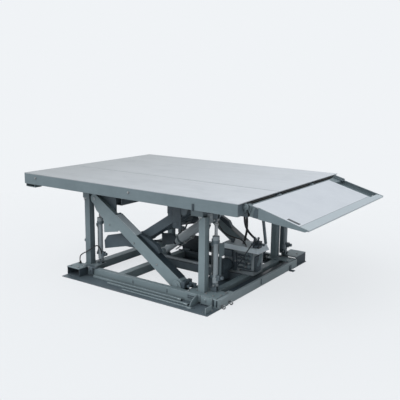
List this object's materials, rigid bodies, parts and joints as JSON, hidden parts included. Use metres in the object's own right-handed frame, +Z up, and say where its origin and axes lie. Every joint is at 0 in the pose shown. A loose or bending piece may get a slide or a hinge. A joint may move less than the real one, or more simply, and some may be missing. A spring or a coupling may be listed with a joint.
{
  "type": "hydraulic dock lift",
  "caption": "Hydraulic dock lift: a wide deck on a half-scissor linkage with rest posts, corner jacks, an anchored base frame and a hinged front lip.",
  "frame": {"origin": "on the ground at the centre of the rectangle of anchor holes, which is the middle of the base", "axes": "+X along the base towards the lip, +Y across to the far side, +Z up"},
  "size_m": [3.6526, 2.36, 1.2],
  "materials": {
    "grey_paint": "satin blue-grey paint",
    "dark_grey_paint": "satin dark grey paint",
    "tread_plate": "satin light grey paint, fine raised tread",
    "chrome_rod": "polished",
    "black_paint": "satin black paint",
    "pale_paint": "satin light grey paint",
    "black_rubber": "matte",
    "bare_steel": "worn"
  },
  "bodies": {
    "base": {"soles": "grey_paint", "long_channels": "grey_paint", "crossbars": "grey_paint", "front_tube": "grey_paint", "centre_rails": "dark_grey_paint", "centre_pipe": "bare_steel", "corner_boxes": "dark_grey_paint", "corner_plates": "grey_paint", "pivot_brackets": "dark_grey_paint", "jack_feet": "dark_grey_paint", "back_posts": "grey_paint", "front_posts": "grey_paint", "post_heads": "grey_paint", "jack_barrels": "dark_grey_paint", "oil_tank": "dark_grey_paint", "tank_lid": "pale_paint", "pump_motor": "black_paint", "valve_block": "black_paint", "feed_hose": "black_rubber", "return_hose": "black_rubber", "ram_hose": "black_rubber"},
    "arms": {"arm_near": "grey_paint", "arm_far": "grey_paint", "arm_gussets": "dark_grey_paint", "arm_cross_tubes": "dark_grey_paint", "rollers": "bare_steel"},
    "links": {"links": "dark_grey_paint", "link_tube": "dark_grey_paint"},
    "plungers": {"plunger": "chrome_rod"},
    "ram_barrels": {"ram_barrel": "dark_grey_paint"},
    "deck": {"near_deck_plate": "tread_plate", "far_deck_plate": "tread_plate", "fascias": "grey_paint", "stringers": "dark_grey_paint", "deck_ribs": "dark_grey_paint", "rear_beam": "grey_paint", "front_beam": "dark_grey_paint", "link_lugs": "dark_grey_paint", "ram_lugs": "dark_grey_paint", "jack_rods": "chrome_rod", "rod_lugs": "dark_grey_paint", "lip_ears": "grey_paint"},
    "lip": {"lip_plate": "tread_plate", "lip_cheeks": "grey_paint", "lip_box": "grey_paint"}
  },
  "joints": [
    {"name": "deck_lift", "type": "slide", "parent": "base", "child": "deck", "axis": [0, 0, 1], "range_m": [0, 0.25]},
    {"name": "arm_pivot", "type": "hinge", "parent": "base", "child": "arms", "pos_m": [0.43, 0, 0.115], "axis": [0, 1, 0], "range_deg": [-1, 13]},
    {"name": "link_pivot", "type": "hinge", "parent": "arms", "child": "links", "pos_m": [-0.18629, 0, 0.521], "axis": [0, 1, 0], "range_deg": [-26, 1]},
    {"name": "ram_pivot", "type": "hinge", "parent": "deck", "child": "ram_barrels", "pos_m": [0.572, 0, 0.901], "axis": [0, 1, 0], "range_deg": [-9.5, 1]},
    {"name": "ram_stroke", "type": "slide", "parent": "ram_barrels", "child": "plungers", "axis": [-0.7985, 0, -0.602], "range_m": [-0.002, 0.17]},
    {"name": "lip_hinge", "type": "hinge", "parent": "deck", "child": "lip", "pos_m": [1.404, 0, 1.157], "axis": [0, 1, 0], "range_deg": [-30, 15]}
  ],
  "couplings": [
    {"joint": "arm_pivot", "follows": "deck_lift", "rad_per_m": 0.852},
    {"joint": "link_pivot", "follows": "deck_lift", "rad_per_m": -1.735},
    {"joint": "ram_pivot", "follows": "deck_lift", "rad_per_m": -0.594},
    {"joint": "ram_stroke", "follows": "deck_lift", "ratio": 0.652}
  ]
}
